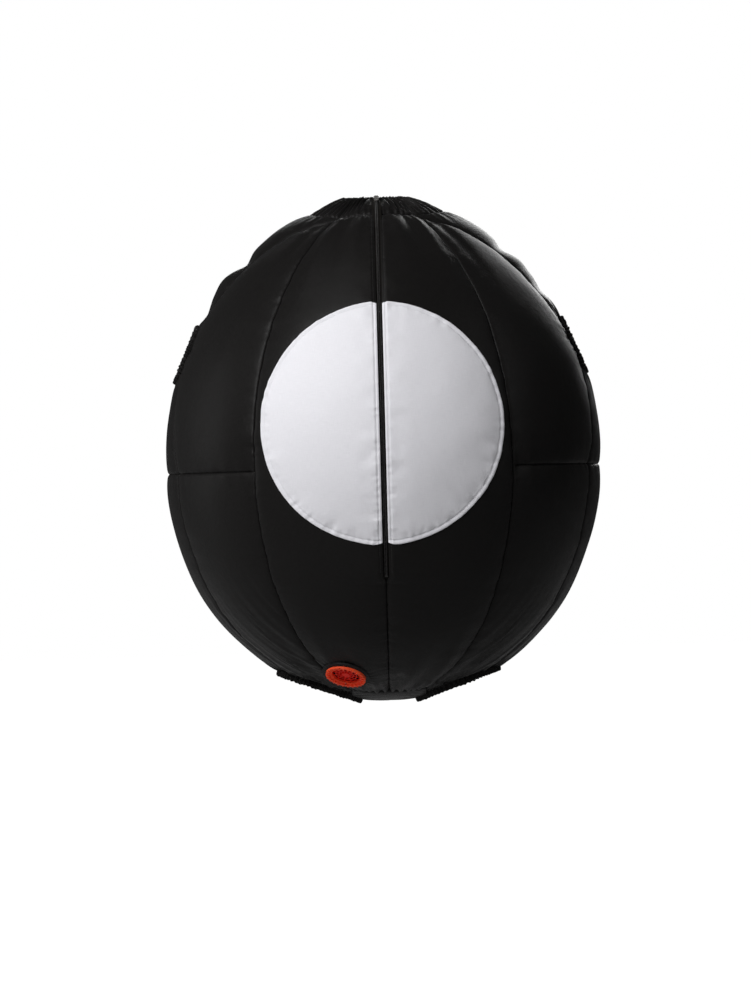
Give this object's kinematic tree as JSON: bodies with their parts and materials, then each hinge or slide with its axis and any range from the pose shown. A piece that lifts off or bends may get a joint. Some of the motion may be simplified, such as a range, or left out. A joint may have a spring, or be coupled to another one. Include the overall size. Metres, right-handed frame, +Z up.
{
  "type": "inflatable ball costume",
  "caption": "Inflatable pool-ball costume with a back zip, elastic openings for neck, arms and legs, and a battery fan that keeps it blown up.",
  "frame": {"origin": "centre of the neck opening, at the top edge of its elastic band", "axes": "+Z up along the neck opening; +Y is the back, with the zip; +X is the wearer's left"},
  "size_m": [0.94, 0.9432, 1.0961],
  "materials": {
    "ball_black": "satin polyester, air tight",
    "disc_white": "satin polyester",
    "numeral_black": "satin polyester",
    "cuff_black": "gathered satin polyester",
    "elastic_black": "woven elastic",
    "zip_tape": "woven tape",
    "zip_coil": "nylon coil",
    "zip_metal": "black enamel",
    "fan_patch": "stiffened polyester",
    "fan_rim_red": "orange-red moulded plastic",
    "fan_deep_red": "deep red moulded plastic",
    "fan_black": "black moulded plastic",
    "bright_steel": "plated steel",
    "gland_rubber": "soft rubber",
    "pocket_black": "polyester lining",
    "battery_case": "black moulded plastic",
    "switch_grey": "grey moulded plastic",
    "cell_wrap": "plain printed sleeve"
  },
  "bodies": {
    "costume": {"aa_cells": "cell_wrap", "arm_cuff_left": "cuff_black", "arm_cuff_right": "cuff_black", "arm_elastic_left": "elastic_black", "arm_elastic_right": "elastic_black", "back_disc_left": "disc_white", "back_disc_right": "disc_white", "back_panel_left": "ball_black", "back_panel_right": "ball_black", "battery_box": "battery_case", "battery_contacts": "bright_steel", "battery_gland": "gland_rubber", "battery_pocket": "pocket_black", "collar": "cuff_black", "crotch_gusset": "ball_black", "fan_bezel": "fan_rim_red", "fan_gland": "gland_rubber", "fan_grille": "fan_deep_red", "fan_housing": "fan_black", "fan_inner_guard": "fan_black", "fan_lock_ring": "fan_black", "fan_motor": "bright_steel", "fan_motor_mount": "fan_black", "fan_patch": "fan_patch", "fan_screws": "bright_steel", "front_disc": "disc_white", "front_numeral": "numeral_black", "front_panel": "ball_black", "front_side_lower_left": "ball_black", "front_side_lower_right": "ball_black", "front_side_upper_left": "ball_black", "front_side_upper_right": "ball_black", "leg_cuff_left": "cuff_black", "leg_cuff_right": "cuff_black", "leg_elastic_left": "elastic_black", "leg_elastic_right": "elastic_black", "neck_band": "cuff_black", "neck_elastic": "elastic_black", "rear_side_lower_left": "ball_black", "rear_side_lower_right": "ball_black", "rear_side_upper_left": "ball_black", "rear_side_upper_right": "ball_black", "shoulder_panel_left": "ball_black", "shoulder_panel_right": "ball_black", "side_lower_left": "ball_black", "side_lower_right": "ball_black", "side_upper_left": "ball_black", "side_upper_right": "ball_black", "switch_body": "battery_case", "zip_stops": "zip_coil", "zip_tape_left": "zip_tape", "zip_tape_right": "zip_tape", "zip_teeth_left": "zip_coil", "zip_teeth_right": "zip_coil"},
    "zip_slider": {"zip_slider": "zip_metal"},
    "zip_pull": {"zip_pull": "zip_metal"},
    "fan_rotor": {"fan_impeller": "fan_deep_red", "fan_shaft": "bright_steel"},
    "battery_cover": {"battery_cover": "battery_case"},
    "switch_knob": {"switch_knob": "switch_grey"}
  },
  "joints": [
    {"name": "zip_run", "type": "hinge", "parent": "costume", "child": "zip_slider", "pos_m": [0, -0.13, -0.56811], "axis": [-1, 0, 0], "range_deg": [0, 93.3]},
    {"name": "pull_swing", "type": "hinge", "parent": "zip_slider", "child": "zip_pull", "pos_m": [0, 0.07802, 0.00144], "axis": [1, 0, 0], "range_deg": [0, 150]},
    {"name": "fan_spin", "type": "hinge", "parent": "costume", "child": "fan_rotor", "pos_m": [0.09128, 0.20501, -1.02732], "axis": [0.2003, 0.4499, -0.8704], "continuous": true},
    {"name": "cover_slide", "type": "slide", "parent": "costume", "child": "battery_cover", "axis": [0, 0, 1], "range_m": [0, 0.062]},
    {"name": "switch_slide", "type": "slide", "parent": "costume", "child": "switch_knob", "axis": [0, 1, 0], "range_m": [0, 0.004]}
  ]
}
